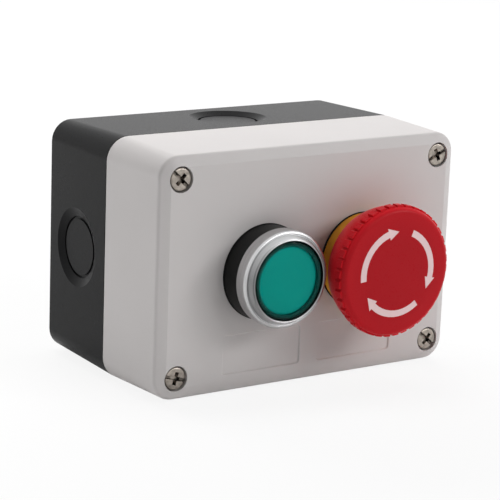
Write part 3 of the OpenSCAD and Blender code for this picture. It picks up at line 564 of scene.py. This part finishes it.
class BOX_OT_stop_button(Operator):
    """Finishes the stop button and its operator"""
    bl_idname = "control_box.stop_button"
    bl_label = "Stop button"

    def execute(self, context):
        settings = context.scene.box_stop
        # Red ABS, moulded and lightly eroded: satin and deep on its face, with painted light that
        # makes its thin rim and sides brighter
        red = moulded_plastic("ABS red moulded", settings.head_colour, grain=0.5 * MM,
                              roughness=0.3, specular=0.07, face=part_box("stop_head")[0][1])
        # White ABS, moulded and let into the red face, with a pink tint painted into its colour
        # as a painted reflection of the red round it
        white = moulded_plastic("ABS white moulded", settings.arrow_colour, grain=0.5 * MM,
                                roughness=0.45)
        # Yellow ABS, moulded: a warm satin yellow, deeper in the shadow of the head
        yellow = moulded_plastic("ABS yellow moulded", settings.collar_colour, grain=0.5 * MM,
                                 roughness=0.45)
        black = bpy.data.materials["Polyamide black moulded"]
        finish_node("stop_head", red)
        finish_node("stop_arrows", white)
        finish_node("stop_collar", yellow)
        for name in ("stop_body", "stop_lock_nut", "stop_carrier"):
            finish_node(name, black)
        # Ground steel: a bright shaft with fine rings round it, and painted shade in fans at its
        # sides
        steel = turned_metal("Steel ground", linear("#b9babb"), roughness=0.3, centre=STOP,
                             ring=0.3 * MM, reach=radius_of("stop_stem"))
        finish_node("stop_stem", steel)
        return {"FINISHED"}


# Each return spring: CAD node, wire and number of turns, and its joint
RETURN_SPRINGS = (
    ("start_return_spring", 0.6 * MM, 3, "start_press"),
    ("stop_return_spring", 1.0 * MM, 5, "stop_press"),
    ("start_contact_return_spring", 0.4 * MM, 5, "start_contact_press"),
    ("stop_contact_return_spring", 0.4 * MM, 5, "stop_contact_press"),
)
# Share of a spring's wire that lies flat at each end
FLAT_END = 0.12
# Corners of the round wire's section, and sections in one turn
WIRE_SIDES = 12
WIRE_STEPS = 32


def wind_spring(node, wire, turns, material):
    """Winds round wire in the place of a CAD spring along Y.
    """
    low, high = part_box(node)
    middle_x, middle_z = (low[0] + high[0]) / 2, (low[2] + high[2]) / 2
    radius = (high[0] - low[0] - wire) / 2
    coil = bmesh.new()
    rings = []
    steps = turns * WIRE_STEPS
    for step in range(steps + 1):
        share = step / steps
        rise = min(max((share - FLAT_END) / (1 - 2 * FLAT_END), 0), 1)
        along = low[1] + wire / 2 + (high[1] - low[1] - wire) * rise
        angle = math.tau * turns * share
        ring = []
        for side in range(WIRE_SIDES):
            turn = math.tau * side / WIRE_SIDES
            reach = radius + wire / 2 * math.cos(turn)
            ring.append(coil.verts.new((middle_x + reach * math.cos(angle),
                                        along + wire / 2 * math.sin(turn),
                                        middle_z + reach * math.sin(angle))))
        rings.append(ring)
    for ring, following in zip(rings, rings[1:]):
        for side in range(WIRE_SIDES):
            beside = (side + 1) % WIRE_SIDES
            coil.faces.new((ring[side], ring[beside], following[beside], following[side]))
    coil.faces.new(rings[0])
    coil.faces.new(rings[-1])
    bmesh.ops.recalc_face_normals(coil, faces=coil.faces)
    mesh = bpy.data.meshes.new(node + "_coil")
    coil.to_mesh(mesh)
    coil.free()
    shade_smooth(mesh)
    mesh.set_sharp_from_angle(angle=SMOOTH_ANGLE)
    mesh.materials.append(material)
    piece = bpy.data.objects.new(node + "_coil", mesh)
    bpy.context.scene.collection.objects.link(piece)
    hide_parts(node)
    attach(piece, "enclosure")
    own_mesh(piece)


class BOX_OT_contact_blocks(Operator):
    """Finishes the contact blocks, the lamp and the springs"""
    bl_idname = "control_box.contact_blocks"
    bl_label = "Contact blocks"

    def execute(self, context):
        black = bpy.data.materials["Polyamide black moulded"]
        brass = bpy.data.materials["Brass turned"]
        # Red and green polyamide, moulded: the satin colours that tell the two blocks apart
        red = moulded_plastic("Polyamide red moulded", linear("#a5222a"), grain=0.4 * MM,
                              roughness=0.5)
        green = moulded_plastic("Polyamide green moulded", linear("#14774a"), grain=0.4 * MM,
                                roughness=0.5)
        # Zinc-plated steel: a cool pale shine
        zinc = plated_metal("Steel zinc plated", linear("#bcc0c4"), roughness=0.35,
                            grain=0.4 * MM)
        # Drawn spring wire: a darker, smoother steel
        wire = plated_metal("Spring steel drawn", linear("#8f9396"), roughness=0.28,
                            grain=0.2 * MM)
        # Blown glass of the small lamp: clear, with a faint haze
        glass = blown_glass("Glass blown clear", linear("#e6eef0"))
        for name, thickness, turns, joint in RETURN_SPRINGS:
            wind_spring(name, thickness, turns, wire)
        for side, plunger in (("start", green), ("stop", red)):
            finish_node(side + "_contact_case", black)
            finish_node(side + "_contact_lid", black)
            finish_node(side + "_contact_plunger", plunger)
            for part in ("_contact_bridge", "_fixed_contacts", "_wire_clamps"):
                finish_node(side + part, brass)
            finish_node(side + "_terminal_screws", zinc)
            finish_node(side + "_contact_spring", wire)
        finish_node("stop_latch_clip", wire)
        finish_node("start_lamp_screws", zinc)
        finish_node("start_lamp", glass)
        return {"FINISHED"}


class BOX_OT_stage(Operator):
    """Sets the camera, the floor, the lamps and the world"""
    bl_idname = "control_box.stage"
    bl_label = "Stage"

    def execute(self, context):
        settings = context.scene.box_stage
        place_camera(context.scene)
        lay_floor()
        hang_lamps(settings)
        light_world(context.scene, settings)
        context.scene.view_settings.view_transform = "Standard"
        return {"FINISHED"}


# The camera's place was fitted to the photograph: angles in degrees, distances in millimetres
CAMERA_AZIMUTH = -34.2139
CAMERA_ELEVATION = 13.6769
CAMERA_ROLL = 2.1517
CAMERA_TARGET = Vector((0.3593, -32.1, -3.183))
CAMERA_DISTANCE = 625.4
FOCAL_PIXELS = 2035.7
FRAME_PIXELS = 500
SENSOR_MM = 36
# Nearest and farthest distance that the camera sees, in metres
CAMERA_NEAR, CAMERA_FAR = 0.01, 20


def place_camera(scene):
    """Puts the camera where the photograph was taken from."""
    azimuth, elevation, roll = (math.radians(a) for a in (CAMERA_AZIMUTH, CAMERA_ELEVATION,
                                                          CAMERA_ROLL))
    back = Vector((math.sin(azimuth) * math.cos(elevation),
                   -math.cos(azimuth) * math.cos(elevation), math.sin(elevation)))
    side = Vector((0, 0, 1)).cross(back).normalized()
    up = back.cross(side)
    right = math.cos(roll) * side + math.sin(roll) * up
    top = -math.sin(roll) * side + math.cos(roll) * up
    camera = bpy.data.cameras.new("Camera")
    camera.sensor_width = SENSOR_MM
    camera.lens = FOCAL_PIXELS / FRAME_PIXELS * SENSOR_MM
    camera.clip_start = CAMERA_NEAR
    camera.clip_end = CAMERA_FAR
    rig = bpy.data.objects.new("Camera", camera)
    scene.collection.objects.link(rig)
    turn = Matrix((right, top, back)).transposed().to_4x4()
    rig.matrix_world = Matrix.Translation((CAMERA_TARGET + back * CAMERA_DISTANCE) * MM) @ turn
    scene.camera = rig


WHITE = (1, 1, 1, 1)
# The floor's half width, and its gap under the object, in metres
FLOOR_REACH = 4
FLOOR_GAP = 0.2 * MM
# Share of plain white in what the camera and clear pieces see of the floor near the object, and
# in what reflections see of it: the rest is the lit floor, which keeps the object's shadow
FLOOR_WHITE = 0.88
FLOOR_MIRRORED = 0.15
# Between these distances from the object, the floor goes over into the white of the background
FADE_START, FADE_END = 0.35, 1.2


def lay_floor():
    """A wide pale floor that the camera sees as white, with the object's soft shadow on it."""
    mesh = bpy.data.meshes.new("Floor")
    grid = bmesh.new()
    bmesh.ops.create_grid(grid, x_segments=1, y_segments=1, size=FLOOR_REACH)
    bmesh.ops.translate(grid, verts=grid.verts, vec=(0, 0, CAD_BOX[0][2] - FLOOR_GAP))
    grid.to_mesh(mesh)
    grid.free()
    floor = bpy.data.objects.new("Floor", mesh)
    bpy.context.scene.collection.objects.link(floor)
    # Matt white paper: plain and without a shine
    material, tree, shader = new_material("Paper white matt")
    set_inputs(tree, shader, {"Base Color": linear("#fafafa") + (1,), "Roughness": 0.9,
                              "Specular IOR Level": 0.1})
    path, straight = straight_rays(tree)
    place = add_node(tree, "ShaderNodeTexCoord").outputs["Object"]
    away = add_node(tree, "ShaderNodeVectorMath", {0: place}, operation="LENGTH")
    white = add_node(tree, "ShaderNodeMapRange",
                     {"Value": away.outputs["Value"], "From Min": FADE_START,
                      "From Max": FADE_END, "To Min": FLOOR_WHITE, "To Max": 1})
    shown = add_node(tree, "ShaderNodeMath", {0: straight, 1: white.outputs["Result"]},
                     operation="MULTIPLY")
    mirrored = add_node(tree, "ShaderNodeMath",
                        {0: path.outputs["Is Glossy Ray"], 1: FLOOR_MIRRORED},
                        operation="MULTIPLY")
    share = add_node(tree, "ShaderNodeMath",
                     {0: shown.outputs["Value"], 1: mirrored.outputs["Value"]},
                     operation="ADD", use_clamp=True)
    glow = add_node(tree, "ShaderNodeEmission", {"Color": WHITE, "Strength": 1})
    mix = add_node(tree, "ShaderNodeMixShader", {0: share.outputs["Value"],
                                                 1: shader.outputs["BSDF"],
                                                 2: glow.outputs["Emission"]})
    set_inputs(tree, tree.nodes["Material Output"], {"Surface": mix.outputs["Shader"]})
    mesh.materials.append(material)


# Each lamp: name, setting that holds its power, place and size in metres, and whether it shows
# in reflections
LAMPS = (
    ("Back", "back_power", (0.1, 0.9, 0.45), 1.2, 0.6, False),
    ("Top", "top_power", (0.1, 0.12, 0.95), 0.8, 0.3, False),
    ("Key", "key_power", (0.3, -0.9, 0.5), 0.5, 0.3, True),
    ("Right", "right_power", (0.65, -0.7, 0.45), 0.3, 0.3, True),
    ("Low", "low_power", (0.3, -1.1, 0.12), 1.2, 0.25, False),
    ("Left", "left_power", (-0.9, 0.35, 0.2), 0.6, 0.6, False),
)
# The point near the middle of the box that all lamps face
LAMP_TARGET = Vector((0, -0.035, 0))


def hang_lamps(settings):
    """Hangs the soft lamps round the box."""
    for name, power, place, width, height, shines in LAMPS:
        light = bpy.data.lights.new(name, "AREA")
        light.shape = "RECTANGLE"
        light.size = width
        light.size_y = height
        light.energy = getattr(settings, power)
        lamp = bpy.data.objects.new(name, light)
        bpy.context.scene.collection.objects.link(lamp)
        lamp.visible_glossy = shines
        lamp.location = place
        aim = LAMP_TARGET - Vector(place)
        lamp.rotation_euler = aim.to_track_quat("-Z", "Y").to_euler()


def light_world(scene, settings):
    """A world that looks white, also in reflections, and lights the object only a little."""
    world = bpy.data.worlds.new("Studio")
    scene.world = world
    world.use_nodes = True
    tree = world.node_tree
    tree.nodes.clear()
    path, straight = straight_rays(tree)
    seen = add_node(tree, "ShaderNodeMath", {0: straight, 1: path.outputs["Is Glossy Ray"]},
                    operation="ADD", use_clamp=True)
    level = add_node(tree, "ShaderNodeMapRange", {"Value": seen.outputs["Value"],
                                                  "To Min": settings.ambient, "To Max": 1})
    sky = add_node(tree, "ShaderNodeBackground", {"Color": WHITE,
                                                  "Strength": level.outputs["Result"]})
    add_node(tree, "ShaderNodeOutputWorld", {"Surface": sky.outputs["Background"]})


class BOX_PT_panel(Panel):
    """Lists the settings and the steps"""
    bl_label = "Control box"
    bl_idname = "BOX_PT_panel"
    bl_space_type = "VIEW_3D"
    bl_region_type = "UI"
    bl_category = "Control box"

    def draw(self, context):
        for key, label, operators in STEPS:
            part = self.layout.box()
            part.label(text=label)
            settings = getattr(context.scene, key)
            for name in settings.__annotations__:
                part.prop(settings, name)
            for operator in operators:
                part.operator(operator.bl_idname)


# Settings, label and operators of each box in the panel, in the order in which they run
STEPS = (
    ("box_enclosure", "Enclosure", (BOX_OT_enclosure,)),
    ("box_screws", "Cover screws", (BOX_OT_cover_screws,)),
    ("box_start", "Start button", (BOX_OT_start_button,)),
    ("box_stop", "Stop button", (BOX_OT_stop_button, BOX_OT_contact_blocks)),
    ("box_stage", "Stage", (BOX_OT_stage,)),
)
SETTINGS = {
    "box_enclosure": EnclosureSettings,
    "box_screws": ScrewSettings,
    "box_start": StartSettings,
    "box_stop": StopSettings,
    "box_stage": StageSettings,
}


def register():
    """Registers the settings, the operators and the panel."""
    for key, group in SETTINGS.items():
        bpy.utils.register_class(group)
        setattr(bpy.types.Scene, key, PointerProperty(type=group))
    for _, _, operators in STEPS:
        for operator in operators:
            bpy.utils.register_class(operator)
    bpy.utils.register_class(BOX_PT_panel)


def unregister():
    """Takes back what register added, in the opposite order."""
    bpy.utils.unregister_class(BOX_PT_panel)
    for _, _, operators in reversed(STEPS):
        for operator in reversed(operators):
            bpy.utils.unregister_class(operator)
    for key, group in reversed(SETTINGS.items()):
        delattr(bpy.types.Scene, key)
        bpy.utils.unregister_class(group)


def main():
    """Runs every operator in order."""
    register()
    for _, _, operators in STEPS:
        for operator in operators:
            step = getattr(bpy.ops.control_box, operator.bl_idname.split(".")[1])
            step()


if __name__ == "__main__":
    main()
